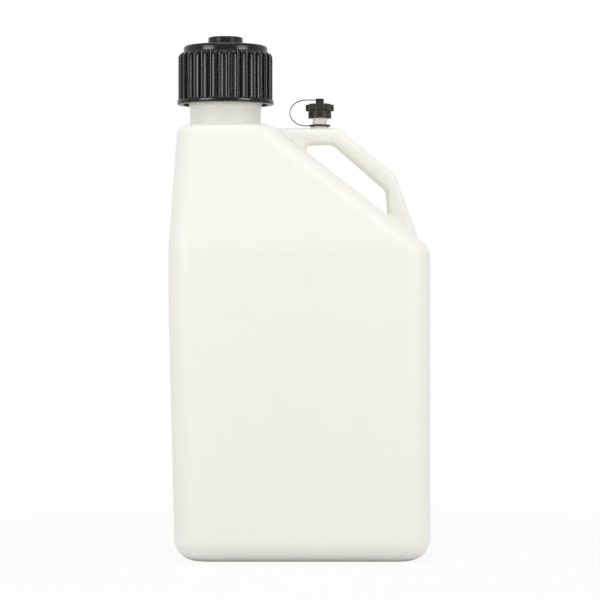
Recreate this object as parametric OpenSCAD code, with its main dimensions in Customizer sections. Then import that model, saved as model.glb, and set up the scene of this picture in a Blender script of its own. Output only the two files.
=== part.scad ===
// A blow-moulded square jug with a hollow handle, a large ribbed screw cap and a small vent cap.
// Origin: centre of the base. Up is +Z, the neck lies towards -X and the handle towards +X.

/* [Body] */
// Length of the body from the front wall to the back wall, at the shoulder
body_length = 254; // [230:1:290]
// Depth of the body from side to side, below the shoulder
body_depth = 246; // [200:1:290]
// Height of the shoulder, where the sides begin to lean in and the back slope begins
shoulder_height = 304; // [280:1:330]
// Height of the deck that carries the neck
deck_height = 426; // [405:1:450]
// Length of the deck from the front wall to the top of the slope
deck_length = 91.5; // [86:0.5:100]
// Depth of the deck from side to side
deck_depth = 190; // [150:1:240]
// How far the front wall draws in at the base
front_draw_base = 6.2; // [0:0.1:12]
// How far the front wall draws in at the deck
front_draw_deck = 7.5; // [2:0.1:14]
// Height of the upright stretch of the front wall, just under the shoulder
front_upright = 50; // [20:1:120]
// Radius where the front wall turns from its lean to upright
front_lean_bend = 400; // [100:10:600]
// Radius where the front wall turns in at the shoulder
front_shoulder_bend = 100; // [40:5:140]
// Wall thickness of the body and the handle
wall = 3; // [2:0.1:4]

/* [Body edges] */
// Radius of the four upright edges
corner_radius = 26; // [16:1:40]
// Radius round the base
base_radius = 24; // [16:1:34]
// Radius where the back wall turns into the slope
shoulder_radius = 16; // [8:1:24]
// Radius of the crease in the side walls at the shoulder
crease_radius = 14; // [6:1:30]
// Radius round the deck
deck_radius = 11; // [6:0.5:16]
// Radius where the slope turns into the deck
crest_radius = 15; // [8:1:24]
// Height of the recess in the base
recess_height = 4; // [1:0.5:8]
// Width of the flat rim that the jug stands on
rim_width = 14; // [8:1:30]

/* [Handle] */
// Rise of the handle's top bar above the deck
handle_rise = 0.5; // [0.2:0.1:2]
// Distance along X from the base's centre to the handle's upper bend
upper_bend_x = 39.5; // [34:0.5:44]
// Distance along X from the base's centre to the handle's lower bend
lower_bend_x = 96.5; // [88:0.5:100]
// Drop from the handle's top bar to its lower bend
lower_bend_drop = 46; // [38:0.5:56]
// Thickness of the handle's top bar, seen from the side
bar_thickness = 16.5; // [13:0.5:20]
// Distance from the back wall to the handle's foot on the shoulder
foot_setback = 4.5; // [4:0.5:12]
// Distance from the top of the slope to the closed end of the finger gap
gap_setback = 35.5; // [28:0.5:44]
// Width of the handle from side to side
handle_width = 29; // [22:0.5:36]
// Width that each end of the handle gains where it meets the body
handle_flare = 7; // [0:0.5:14]
// Radius of the handle's long edges
handle_edge = 7; // [5:0.5:8]
// Radius outside the handle's two bends
outer_bend = 9.5; // [6:0.5:14]
// Radius inside the handle's lower bend
inner_bend = 6; // [4:0.5:10]
// Radius in the upper corners of the finger gap
gap_corner = 3.5; // [2:0.5:6]
// Radius where the handle's lines run into the body
root_bend = 30; // [15:1:45]
// How much the finger gap narrows the bar below its lower bend
bar_taper = 9.8; // [6:0.1:12]
// Height of the finger gap's lower end above the shoulder
gap_foot_height = 29; // [22:0.5:36]
// How far the handle's ends reach into the body
handle_sink = 14; // [10:0.5:20]

/* [Neck] */
// Distance along X from the base's centre to the neck's axis, towards the front
neck_setback = 74.5; // [70:0.1:78]
// Outer diameter of the neck below the cap
neck_diameter = 72.6; // [68:0.2:74]
// Diameter of the neck under its screw thread
thread_root_diameter = 75.4; // [74.4:0.2:76]
// Bore of the neck
neck_bore = 66; // [60:0.5:68]
// Height of the neck above the deck
neck_height = 77; // [66:0.5:84]

/* [Main cap] */
// Height of the cap from its flange to its flat top
cap_height = 59.1; // [54:0.1:62]
// Diameter of the cap over its ribs
cap_diameter = 95.4; // [91:0.2:96]
// Depth of the grooves between the ribs
rib_depth = 3.2; // [1.5:0.1:3.6]
// Number of grip ribs
rib_count = 30; // [18:1:40]
// Share of each pitch that a rib fills
rib_share = 0.55; // [0.35:0.05:0.7]
// Diameter of the flange round the cap's mouth
flange_diameter = 97.4; // [96.4:0.2:100]
// Thickness of the flange
flange_thickness = 4.6; // [3:0.1:6]
// Bore of the cap, over the crests of the neck's screw thread
cap_bore = 80.8; // [80.2:0.1:81.6]
// Diameter of the mouth of the cap, inside its flange
cap_mouth = 85; // [83:0.5:88]
// Height of the round shoulder that ends the ribs
rib_shoulder = 5.7; // [4:0.1:7]
// Diameter of the raised disc on the cap
disc_diameter = 84.4; // [80:0.2:88]
// Height of the raised disc above the ribs
disc_height = 6.9; // [5:0.1:8]
// Radius of the disc's upper edge
disc_edge = 2.5; // [1:0.1:3.5]
// Thickness of the cap's crown
crown_thickness = 4.3; // [3:0.1:6]
// Diameter of the boss in the middle of the cap
boss_diameter = 35; // [24:0.5:44]
// Height of the boss above the crown
boss_height = 8.9; // [4:0.1:12]
// Wall of the boss, which is hollow underneath
boss_wall = 3; // [2:0.1:4]
// Thickness of the cap's sealing ring
gasket_thickness = 2; // [1:0.1:3]
// Inner diameter of the cap's sealing ring
gasket_bore = 62; // [50:0.5:64]
// Gap between each seat and the seal that lies on it
seat_gap = 0.1; // [0.05:0.05:0.3]

/* [Vent] */
// Distance along X from the base's centre to the vent's axis
vent_x = 20.6; // [14:0.5:24]
// Outer diameter of the vent's neck
vent_diameter = 14.4; // [13:0.2:15]
// Bore of the vent's neck
vent_bore = 9; // [6:0.5:10]
// Height of the vent's neck above the handle
vent_height = 21; // [18:0.5:26]
// Diameter of the collar at the foot of the vent's neck
collar_diameter = 18; // [16:0.5:20]
// Height of the collar
collar_height = 1.8; // [1:0.1:3]

/* [Vent cap] */
// Height of the vent cap's body
knob_height = 14.5; // [12:0.5:16]
// Diameter of the vent cap's body at its upper edge
knob_diameter = 22.8; // [20:0.2:26]
// How much narrower the vent cap's body is at its mouth
knob_draw = 1.2; // [0:0.1:2]
// Number of grip lobes
lobe_count = 5; // [3:1:6]
// Diameter over the grip lobes
lobe_reach = 28.6; // [26:0.5:32]
// Width of each lobe
lobe_width = 8.4; // [6:0.2:10]
// Height of the lobes
lobe_height = 6.7; // [5:0.1:8]
// Drop from the vent cap's top to the lobes' tops
lobe_drop = 0.5; // [0.2:0.1:2]
// Bore of the vent cap, over the crests of the vent's screw thread
knob_bore = 17; // [16.6:0.1:17.4]
// Thickness of the vent cap's crown
knob_crown = 2.3; // [1.5:0.1:3.5]
// Thickness of the vent cap's sealing disc
vent_gasket_thickness = 1.4; // [0.8:0.1:2]
// Diameter of the stem on the vent cap
stem_diameter = 8; // [6:0.2:10]
// Height of the stem
stem_height = 3.2; // [2.5:0.1:5]
// Diameter of the stud that holds the tether's eye
stud_diameter = 4.2; // [3:0.1:5]

/* [Tether] */
// Thickness of the tether strap
strap_thickness = 1.1; // [0.8:0.1:1.6]
// Width of the tether strap
strap_width = 3.2; // [2:0.2:5]
// Outer diameter of the tether's ring
ring_diameter = 21.6; // [19:0.2:26]
// Thickness of the tether's ring
ring_thickness = 1.5; // [1:0.1:2.5]
// Distance from the vent's axis to the far side of the tether's loop
loop_reach = 30.2; // [24:0.2:34]
// Radius at the top of the tether's loop
loop_top_bend = 13; // [6:0.5:14]
// Radius at the foot of the tether's loop
loop_foot_bend = 9; // [5:0.5:11]
// Gap all round between the tether and the pieces that it loops over
tether_gap = 0.4; // [0.2:0.05:0.6]
// Gap above and below the tether's eye on the stud
eye_gap = 0.2; // [0.1:0.05:0.4]

/* [Hidden] */
$fn = 96;

natural = "#f2f1ea";
black = "#1c1c1c";
seal_grey = "#8d8f90";

front_x = -body_length / 2;
back_x = body_length / 2;
neck_x = -neck_setback;
neck_top = deck_height + neck_height;
crest_x = front_x + front_draw_deck + deck_length;
handle_height = deck_height + handle_rise;
lower_bend_height = handle_height - lower_bend_drop;

// Points on each quarter of a body ring, on each bend of a profile and on each quarter of a handle ring.
ring_steps = 8;
bend_steps = 6;
handle_ring_steps = 5;

cap_top = neck_top + 2 * seat_gap + gasket_thickness + crown_thickness;
cap_mouth_z = cap_top - cap_height;
flange_top = cap_mouth_z + flange_thickness;
disc_foot = cap_top - disc_height;
crown_under = cap_top - crown_thickness;
boss_top = cap_top + boss_height;

vent_base = handle_height;
vent_top = vent_base + vent_height;
knob_ceiling = vent_top + 2 * seat_gap + vent_gasket_thickness;
knob_top = knob_ceiling + knob_crown;
knob_mouth = knob_top - knob_height;
stem_top = knob_top + stem_height;
ring_z = vent_base + collar_height + tether_gap;

function unit(v) = v / norm(v);

// An arc of radius r that rounds the corner b of the path a, b, c.
function bend(a, b, c, r, steps) =
    let (to_a = unit(a - b))
    let (to_c = unit(c - b))
    let (half = acos(to_a * to_c) / 2)
    let (centre = b + unit(to_a + to_c) * r / sin(half))
    let (from = unit(b + to_a * r / tan(half) - centre))
    let (to = unit(b + to_c * r / tan(half) - centre))
    let (sweep = 180 - 2 * half)
    [for (i = [0:steps])
        centre + r * (sin(sweep * (1 - i / steps)) * from + sin(sweep * i / steps) * to) / sin(sweep)];

// The bends of an open path, without its two ends.
function bends(path, radii, steps) =
    [for (i = [1:len(path) - 2]) each bend(path[i - 1], path[i], path[i + 1], radii[i - 1], steps)];

// An open path with its bends rounded, ends and all.
function rounded_path(path, radii, steps) =
    concat([path[0]], bends(path, radii, steps), [path[len(path) - 1]]);

function left_of(a, b) = let (along = unit(b - a)) [-along.y, along.x];

// An open path moved to its left by a distance.
function shifted(path, distance) =
    let (last = len(path) - 1)
    [for (i = [0:last])
        let (before = left_of(path[max(i - 1, 0)], path[max(i, 1)]))
        let (after = left_of(path[min(i, last - 1)], path[min(i + 1, last)]))
        path[i] + distance * (before + after) / (1 + before * after)];

// A wall's outline from the base to the deck, as pairs of height and reach, moved inwards by a distance.
function outline(path, radii, inwards) =
    [for (p = bends(shifted(path, inwards), radii - [for (r = radii) inwards], bend_steps)) [p.y, p.x]];

function heights(table) = [for (row = table) row[0]];

function sorted(v) =
    len(v) < 2 ? v :
    let (middle = v[floor(len(v) / 2)])
    concat(
        sorted([for (x = v) if (x < middle) x]),
        [for (x = v) if (x == middle) x],
        sorted([for (x = v) if (x > middle) x]));

// A closed ring with rounded corners round a box, counter-clockwise.
function rounded_ring(x_low, x_high, y_low, y_high, r, steps) =
    [for (quarter = [0:3])
        for (i = [0:steps])
            let (a = 90 * quarter + 90 * i / steps)
            let (x = (quarter == 0 || quarter == 3) ? x_high - r : x_low + r)
            let (y = quarter < 2 ? y_high - r : y_low + r)
            [x + r * cos(a), y + r * sin(a)]];

// A closed skin through rings that all have the same number of points.
module skin(rings) {
    count = len(rings[0]);
    sides = [for (k = [0:len(rings) - 2]) for (i = [0:count - 1])
        let (j = (i + 1) % count)
        let (low = k * count)
        let (high = low + count)
        each [[low + i, high + i, high + j], [low + i, high + j, low + j]]];
    first = [for (i = [0:count - 1]) i];
    last = [for (i = [0:count - 1]) len(rings) * count - 1 - i];
    polyhedron(points = [for (ring = rings) each ring], faces = concat([first], sides, [last]));
}

// The three outlines of the body, each from under the base to the middle of the deck.
front_path = [
    [0, 0],
    [-front_x - front_draw_base, 0],
    [-front_x, shoulder_height - front_upright],
    [-front_x, shoulder_height],
    [-front_x - front_draw_deck, deck_height],
    [-front_x - deck_length, deck_height]];
back_path = [
    [0, 0],
    [back_x, 0],
    [back_x, shoulder_height],
    [crest_x, deck_height],
    [crest_x - deck_length, deck_height]];
side_path = [
    [0, 0],
    [body_depth / 2, 0],
    [body_depth / 2, shoulder_height],
    [deck_depth / 2, deck_height],
    [0, deck_height]];

// The body's form, as rings from its base panel to its deck, moved inwards by a distance.
module body_form(inwards) {
    front = outline(front_path, [base_radius, front_lean_bend, front_shoulder_bend, deck_radius], inwards);
    back = outline(back_path, [base_radius, shoulder_radius, crest_radius], inwards);
    side = outline(side_path, [base_radius, crease_radius, deck_radius], inwards);
    edge = [
        [0, corner_radius * 0.5],
        [base_radius, corner_radius],
        [deck_height - deck_radius, corner_radius],
        [deck_height, corner_radius * 0.7]];
    low = inwards;
    high = deck_height - inwards;
    spacing = 0.6;
    marks = sorted(concat(heights(front), heights(back), heights(side)));
    between = [for (i = [1:len(marks) - 1])
        if (marks[i] - marks[i - 1] > spacing && marks[i] > low + 0.3 && marks[i] < high - 0.3) marks[i]];
    panel = [
        [low + recess_height, rim_width + 2 * recess_height],
        [low, rim_width]];
    skin([
        for (step = panel) body_ring(front, back, side, edge, inwards, low, step[0], step[1]),
        for (z = concat([low], between, [high])) body_ring(front, back, side, edge, inwards, z, z, 0)]);
}

// One ring of the body: its shape at height z, drawn at a height and drawn in by a distance.
function body_ring(front, back, side, edge, inwards, z, height, drawn_in) =
    let (x_low = -lookup(z, front) + drawn_in)
    let (x_high = lookup(z, back) - drawn_in)
    let (y_high = lookup(z, side) - drawn_in)
    let (r = lookup(z, edge) - inwards)
    [for (p = rounded_ring(x_low, x_high, -y_high, y_high, r, ring_steps)) [p.x, p.y, height]];

// The handle seen from the side: its outer line, and its inner line round the finger gap.
slant_angle = atan2(handle_height - lower_bend_height, lower_bend_x - upper_bend_x);
handle_foot_x = back_x - foot_setback;
handle_foot_z = shoulder_height + wall;
gap_root_x = crest_x + gap_setback;
bar_under = handle_height - bar_thickness;
bar_side = bar_thickness * tan(slant_angle / 2);
handle_outer = [
    [crest_x - 2 * handle_sink, handle_height - handle_sink / 3],
    [crest_x - handle_sink / 2, handle_height],
    [upper_bend_x, handle_height],
    [lower_bend_x, lower_bend_height],
    [handle_foot_x, handle_foot_z],
    [handle_foot_x, handle_foot_z - handle_sink]];
handle_inner = [
    [gap_root_x - wall, bar_under - 1.5 * handle_sink],
    [gap_root_x, bar_under],
    [upper_bend_x - bar_side, bar_under],
    [lower_bend_x - bar_taper, lower_bend_height - bar_thickness],
    [lower_bend_x - bar_taper + wall, shoulder_height + gap_foot_height],
    [lower_bend_x + wall, shoulder_height - handle_sink]];

// The handle's form, moved inwards by a distance.
module handle_form(inwards) {
    outer = rounded_path(handle_outer, [root_bend, outer_bend, outer_bend, root_bend], bend_steps);
    inner = rounded_path(handle_inner, [gap_corner, gap_corner, inner_bend, root_bend], bend_steps);
    last = len(outer) - 1;
    flare_stations = bend_steps + 2;
    skin([for (i = [0:last])
        let (away = max(0, flare_stations - min(i, last - i)) / flare_stations)
        let (half_width = (handle_width + handle_flare * away) / 2 - inwards)
        let (up = unit(outer[i] - inner[i]))
        let (middle = (outer[i] + inner[i]) / 2)
        let (half_thickness = norm(outer[i] - inner[i]) / 2 - inwards)
        let (r = min(handle_edge - inwards, half_thickness - 0.2))
        [for (p = rounded_ring(-half_width, half_width, -half_thickness, half_thickness, r,
                handle_ring_steps))
            [middle.x + up.x * p.y, p.x, middle.y + up.y * p.y]]]);
}

module jug_body() {
    sink = 8;
    color(natural) difference() {
        union() {
            body_form(0);
            handle_form(0);
            translate([neck_x, 0, 0]) neck_form(sink);
            translate([vent_x, 0, vent_base - wall / 2]) vent_form(wall / 2);
        }
        body_form(wall);
        handle_form(wall);
        translate([neck_x, 0, deck_height - 2 * sink])
            cylinder(d = neck_bore, h = neck_height + 4 * sink);
        translate([vent_x, 0, vent_base - bar_thickness / 2])
            cylinder(d = vent_bore, h = vent_height + bar_thickness);
    }
}

// The neck as a solid of revolution, which starts below the deck.
module neck_form(sink) {
    foot = 3;
    lip = 1;
    step_z = cap_mouth_z + 3;
    rotate_extrude() polygon([
        [0, deck_height - sink / 4],
        [neck_diameter / 2 + foot, deck_height - sink / 4],
        for (a = [0:15:90]) [
            neck_diameter / 2 + foot * (1 - sin(a)),
            deck_height + foot * (1 - cos(a))],
        [neck_diameter / 2, step_z],
        [thread_root_diameter / 2, step_z + 2 * (thread_root_diameter - neck_diameter)],
        for (a = [0:30:90]) [
            thread_root_diameter / 2 - lip * (1 - cos(a)),
            neck_top - lip * (1 - sin(a))],
        [0, neck_top]]);
}

// The vent's neck and collar as a solid of revolution.
module vent_form(sink) {
    lip = 0.6;
    rotate_extrude() polygon([
        [0, 0],
        [collar_diameter / 2, 0],
        [collar_diameter / 2, sink + collar_height - lip],
        [collar_diameter / 2 - lip, sink + collar_height],
        [vent_diameter / 2, sink + collar_height],
        [vent_diameter / 2, sink + vent_height - lip],
        [vent_diameter / 2 - lip, sink + vent_height],
        [0, sink + vent_height]]);
}

// A rounded edge in a turned outline, as points from angle a to angle b round a centre.
function edge_arc(centre, r, a, b, steps) =
    [for (i = [0:steps]) let (t = a + (b - a) * i / steps) centre + r * [cos(t), sin(t)]];

module main_cap() {
    core = cap_diameter / 2 - rib_depth;
    lead_in = 2.5;
    boss_edge = 1.8;
    flange_edge = 0.9;
    color(black) translate([neck_x, 0, 0]) union() {
        rotate_extrude() polygon(concat(
            [[cap_mouth / 2, cap_mouth_z]],
            edge_arc([flange_diameter / 2 - flange_edge, cap_mouth_z + flange_edge], flange_edge, -90, 0, 3),
            edge_arc([flange_diameter / 2 - flange_edge, flange_top - flange_edge], flange_edge, 0, 90, 3),
            [[core, flange_top], [core, disc_foot - rib_shoulder], [disc_diameter / 2, disc_foot]],
            edge_arc([disc_diameter / 2 - disc_edge, cap_top - disc_edge], disc_edge, 0, 90, 6),
            [[boss_diameter / 2, cap_top]],
            edge_arc([boss_diameter / 2 - boss_edge, boss_top - boss_edge], boss_edge, 0, 90, 5),
            [[0, boss_top], [0, boss_top - boss_wall]],
            [[boss_diameter / 2 - boss_wall, boss_top - boss_wall]],
            [[boss_diameter / 2 - boss_wall, crown_under]],
            [[cap_bore / 2, crown_under]],
            [[cap_bore / 2, cap_mouth_z + 2 * lead_in]],
            [[cap_mouth / 2, cap_mouth_z + lead_in]]));
        for (i = [0:rib_count - 1])
            rotate([0, 0, 360 * i / rib_count - 90]) cap_rib();
    }
}

// One grip rib, centred on +X, from the flange to the round shoulder under the disc.
module cap_rib() {
    turn = 360 / rib_count * rib_share;
    overlap = 0.6;
    inset = (cap_diameter - disc_diameter) / 2;
    rotate([0, 0, -turn / 2]) rotate_extrude(angle = turn) polygon(concat(
        [[disc_diameter / 2 - overlap, flange_top - overlap], [cap_diameter / 2, flange_top - overlap]],
        [for (a = [0:15:90]) [
            cap_diameter / 2 - inset * (1 - cos(a)),
            disc_foot - rib_shoulder * (1 - sin(a))]],
        [[disc_diameter / 2 - overlap, disc_foot - overlap]]));
}

module cap_gasket() {
    side_gap = 0.4;
    color(seal_grey) translate([neck_x, 0, neck_top + seat_gap]) difference() {
        cylinder(d = cap_bore - 2 * side_gap, h = gasket_thickness);
        translate([0, 0, -1]) cylinder(d = gasket_bore, h = gasket_thickness + 2);
    }
}

module vent_cap() {
    knob_edge = 1;
    head_height = 0.5;
    head_overhang = 0.9;
    stud_top = stem_top + strap_thickness + 2 * eye_gap;
    color(black) translate([vent_x, 0, 0]) {
        rotate_extrude() polygon(concat(
            [[knob_bore / 2, knob_mouth], [knob_diameter / 2 - knob_draw / 2, knob_mouth]],
            edge_arc([knob_diameter / 2 - knob_edge, knob_top - knob_edge], knob_edge, 0, 90, 4),
            [[stem_diameter / 2, knob_top], [stem_diameter / 2, stem_top]],
            [[stud_diameter / 2, stem_top], [stud_diameter / 2, stud_top]],
            [[stud_diameter / 2 + head_overhang, stud_top]],
            [[stud_diameter / 2 + head_overhang / 2, stud_top + head_height]],
            [[0, stud_top + head_height], [0, knob_ceiling], [knob_bore / 2, knob_ceiling]]));
        intersection() {
            for (i = [0:lobe_count - 1]) rotate([0, 0, 90 + 360 * i / lobe_count]) knob_lobe();
            knob_lobe_round();
        }
    }
}

// One grip lobe along +X, with a round tip, that starts inside the wall of the vent cap.
module knob_lobe() {
    root = knob_bore / 2 + 1;
    side_inset = 0.3;
    tip = lobe_reach / 2 - lobe_width / 2;
    translate([0, 0, knob_top - lobe_drop - lobe_height]) linear_extrude(lobe_height) {
        translate([tip, 0]) circle(d = lobe_width);
        translate([root, side_inset - lobe_width / 2])
            square([max(tip - root, 0.1), lobe_width - 2 * side_inset]);
    }
}

// The turned shape that rounds off the tips of the lobes.
module knob_lobe_round() {
    low = knob_top - lobe_drop - lobe_height;
    high = knob_top - lobe_drop;
    soft = 1.4;
    rotate_extrude() polygon(concat(
        [[knob_bore / 2 + 1, low - 1], [lobe_reach / 2 - soft - 1, low - 1]],
        edge_arc([lobe_reach / 2 - soft, low + soft], soft, -90, 0, 3),
        edge_arc([lobe_reach / 2 - soft, high - soft], soft, 0, 90, 3),
        [[knob_bore / 2 + 1, high]]));
}

module vent_gasket() {
    color(seal_grey) translate([vent_x, 0, vent_top + seat_gap])
        cylinder(d = knob_bore - 1, h = vent_gasket_thickness);
}

// The strap's middle line, in X and Z, from the eye over the stem round to the ring.
eye_z = stem_top + eye_gap + strap_thickness / 2;
ring_mid = ring_z + strap_thickness / 2;
eye_radius = stem_diameter / 2 + eye_gap;
strap_lap = 0.6;
loop_foot_rise = 5.4;
loop_x = vent_x - loop_reach;
strap_line = [
    [vent_x - eye_radius + strap_lap, eye_z],
    [loop_x, eye_z],
    [loop_x, ring_mid + loop_foot_rise],
    [vent_x - ring_diameter / 2 + strap_lap, ring_mid]];

module vent_tether() {
    line = rounded_path(strap_line, [loop_top_bend, loop_foot_bend], 2 * bend_steps);
    edges = concat(shifted(line, strap_thickness / 2), reversed(shifted(line, -strap_thickness / 2)));
    color(black) union() {
        rotate([90, 0, 0]) linear_extrude(strap_width, center = true) polygon(edges);
        translate([vent_x, 0, ring_z])
            washer(ring_diameter, vent_diameter + 2 * tether_gap, ring_thickness);
        translate([vent_x, 0, eye_z - strap_thickness / 2])
            washer(2 * eye_radius, stud_diameter + 2 * tether_gap, strap_thickness);
    }
}

function reversed(v) = [for (i = [len(v) - 1:-1:0]) v[i]];

module washer(outer, inner, thickness) {
    difference() {
        cylinder(d = outer, h = thickness);
        translate([0, 0, -1]) cylinder(d = inner, h = thickness + 2);
    }
}

jug_body();
main_cap();
cap_gasket();
vent_cap();
vent_gasket();
vent_tether();
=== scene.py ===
# %% [markdown]
# # A blow-moulded jug, dressed around its solid model
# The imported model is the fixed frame: it gives each solid's place and the bodies that move. This script
# makes the surfaces that a camera sees: the soft satin jug, its black screw cap, the small vent cap and
# the strap that tethers it. Everything is in metres, in the frame's own axes.

# %% Load the frame
import math
import bmesh
import bpy
import numpy as np
from mathutils import Matrix, Vector
from mathutils.bvhtree import BVHTree


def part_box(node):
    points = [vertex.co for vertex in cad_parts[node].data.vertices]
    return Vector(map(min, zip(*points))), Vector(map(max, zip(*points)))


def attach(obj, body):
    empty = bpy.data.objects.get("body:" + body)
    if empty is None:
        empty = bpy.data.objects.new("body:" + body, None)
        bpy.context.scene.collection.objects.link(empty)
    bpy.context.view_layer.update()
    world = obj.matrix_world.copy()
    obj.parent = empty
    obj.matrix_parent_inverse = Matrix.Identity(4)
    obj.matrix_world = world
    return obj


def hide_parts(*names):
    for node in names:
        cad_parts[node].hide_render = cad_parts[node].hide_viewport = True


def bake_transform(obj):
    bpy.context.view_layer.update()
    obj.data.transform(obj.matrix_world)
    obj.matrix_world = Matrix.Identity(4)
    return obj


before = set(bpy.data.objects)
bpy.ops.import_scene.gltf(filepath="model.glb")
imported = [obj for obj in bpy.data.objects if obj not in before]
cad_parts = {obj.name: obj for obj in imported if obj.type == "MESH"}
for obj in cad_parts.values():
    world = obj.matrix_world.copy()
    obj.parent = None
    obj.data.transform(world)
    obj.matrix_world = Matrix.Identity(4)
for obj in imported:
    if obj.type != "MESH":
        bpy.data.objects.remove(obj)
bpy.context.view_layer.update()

MM = 0.001

# %% [markdown]
# ## Camera
# The photo is a catalogue view, taken level and from far away, so upright edges stay upright. A long lens
# gives that. Its length follows from how wide the jug looks at that distance.

# %% Camera
CAMERA_DISTANCE = 2.5
CAMERA_SIDE = 0.65 * MM
CAMERA_HEIGHT = 253.6 * MM
SENSOR_WIDTH = 36.0
VIEW_WIDTH_AT_JUG = 605.4 * MM

camera = bpy.data.objects.new("camera", bpy.data.cameras.new("camera"))
bpy.context.scene.collection.objects.link(camera)
camera.location = (CAMERA_SIDE, -CAMERA_DISTANCE, CAMERA_HEIGHT)
camera.rotation_euler = (math.pi / 2, 0, 0)
camera.data.sensor_width = SENSOR_WIDTH
camera.data.lens = SENSOR_WIDTH * CAMERA_DISTANCE / VIEW_WIDTH_AT_JUG
bpy.context.scene.camera = camera
print("lens in mm:", round(camera.data.lens, 1))

# %% [markdown]
# ## Helpers for materials
# Colours are written as the sRGB hex values that a paint program shows, and one function turns them to
# the linear values that the shader works with. One more function adds a node, sets it and links it.

# %% Helpers for materials
def colour(hex_code):
    """An sRGB hex code as a linear colour with full alpha."""
    parts = [int(hex_code[i:i + 2], 16) / 255 for i in (1, 3, 5)]
    linear = [c / 12.92 if c <= 0.04045 else ((c + 0.055) / 1.055) ** 2.4 for c in parts]
    return (*linear, 1.0)


def add_node(tree, kind, inputs=None, **settings):
    """Adds a node, applies its settings, and sets or links each of its inputs."""
    node = tree.nodes.new(kind)
    for name, value in settings.items():
        setattr(node, name, value)
    for name, value in (inputs or {}).items():
        if isinstance(value, bpy.types.NodeSocket):
            tree.links.new(value, node.inputs[name])
        else:
            node.inputs[name].default_value = value
    return node


def new_material(name):
    """A material with nothing in it but its output."""
    material = bpy.data.materials.new(name)
    material.use_nodes = True
    material.node_tree.nodes.clear()
    output = add_node(material.node_tree, "ShaderNodeOutputMaterial")
    return material, material.node_tree, output


# %% [markdown]
# ## Studio
# The photo has a white ground and one wide, low soft lamp on each side of the camera: their mirror images
# are the two pale bands on the cap and the thin lines along its ribs. A third, high lamp fills the top. A
# camera ray that misses the jug sees plain white. The light that reaches the jug from all round is brighter
# behind it than on the camera's side, as in a room with one white wall, so the black plastic stays black in
# front and its rims still stand out.

# %% World
AMBIENT_FRONT = 0.48
AMBIENT_BACK = 0.85

world = bpy.data.worlds.new("studio")
world.use_nodes = True
bpy.context.scene.world = world
sky = world.node_tree
sky.nodes.clear()
rays = add_node(sky, "ShaderNodeLightPath")
seen = add_node(sky, "ShaderNodeMath", {0: rays.outputs["Is Camera Ray"],
    1: rays.outputs["Is Transmission Ray"]}, operation="MAXIMUM")
toward = add_node(sky, "ShaderNodeTexCoord").outputs["Generated"]
heading = add_node(sky, "ShaderNodeSeparateXYZ", {0: toward})
room = add_node(sky, "ShaderNodeMapRange", {"Value": heading.outputs["Y"], "From Min": -1.0, "From Max": 1.0,
    "To Min": AMBIENT_FRONT, "To Max": AMBIENT_BACK})
level = add_node(sky, "ShaderNodeMapRange", {"Value": seen.outputs[0], "To Min": room.outputs["Result"],
    "To Max": 1.0})
backdrop = add_node(sky, "ShaderNodeBackground", {"Color": (1, 1, 1, 1),
    "Strength": level.outputs["Result"]})
add_node(sky, "ShaderNodeOutputWorld", {"Surface": backdrop.outputs[0]})

# %% Lamps
LAMP_DISTANCE = 2.0
LAMP_WIDTH = 0.95
LAMP_HEIGHT = 0.34
LAMP_RADIANCE = 8.3
LAMP_AZIMUTH = math.radians(47)
LAMP_LEVEL = 0.68
TOP_LAMP_SIZE = 1.5
TOP_LAMP_PLACE = (0, -0.9, 2.2)
TOP_LAMP_RADIANCE = 1.7
LAMP_TARGET = Vector((0, 0, 0.25))


def soft_lamp(name, place, target, width, height, radiance):
    """A rectangular lamp at a place, turned to a target, of the given radiance."""
    data = bpy.data.lights.new(name, "AREA")
    data.shape = "RECTANGLE"
    data.size = width
    data.size_y = height
    data.energy = radiance * math.pi * width * height
    lamp = bpy.data.objects.new(name, data)
    bpy.context.scene.collection.objects.link(lamp)
    lamp.location = place
    lamp.rotation_euler = (target - place).to_track_quat("-Z", "Y").to_euler()
    return lamp


lamp_side, lamp_front = LAMP_DISTANCE * math.sin(LAMP_AZIMUTH), LAMP_DISTANCE * math.cos(LAMP_AZIMUTH)
for x, name in ((-lamp_side, "lamp_left"), (lamp_side, "lamp_right")):
    soft_lamp(name, Vector((x, -lamp_front, LAMP_LEVEL)), LAMP_TARGET, LAMP_WIDTH, LAMP_HEIGHT, LAMP_RADIANCE)
soft_lamp("lamp_top", Vector(TOP_LAMP_PLACE), LAMP_TARGET, TOP_LAMP_SIZE, TOP_LAMP_SIZE, TOP_LAMP_RADIANCE)

# %% Floor
FLOOR_SIZE = 12.0
SHADE_SHARE = 0.1
SHADE_REACH = 0.45
SHADE_END = 0.75

floor_bm = bmesh.new()
bmesh.ops.create_grid(floor_bm, x_segments=1, y_segments=1, size=FLOOR_SIZE / 2)
floor_mesh = bpy.data.meshes.new("floor")
floor_bm.to_mesh(floor_mesh)
floor_bm.free()
floor = bpy.data.objects.new("floor", floor_mesh)
bpy.context.scene.collection.objects.link(floor)

floor_paint, tree, output = new_material("pale_floor_paint")
rays = add_node(tree, "ShaderNodeLightPath")
matt = add_node(tree, "ShaderNodeBsdfDiffuse", {"Color": colour("#e4e4e4")})
white = add_node(tree, "ShaderNodeEmission", {"Color": (1, 1, 1, 1), "Strength": 1.0})
away = add_node(tree, "ShaderNodeVectorMath", {0: add_node(tree, "ShaderNodeTexCoord").outputs["Object"]},
    operation="LENGTH")
plain = add_node(tree, "ShaderNodeMapRange", {"Value": away.outputs["Value"], "From Min": SHADE_REACH,
    "From Max": SHADE_END, "To Min": 1 - SHADE_SHARE, "To Max": 1.0})
seen = add_node(tree, "ShaderNodeMath", {0: rays.outputs["Is Camera Ray"],
    1: rays.outputs["Is Transmission Ray"]}, operation="MAXIMUM")
share = add_node(tree, "ShaderNodeMath", {0: seen.outputs[0], 1: plain.outputs["Result"]},
    operation="MULTIPLY")
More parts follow.
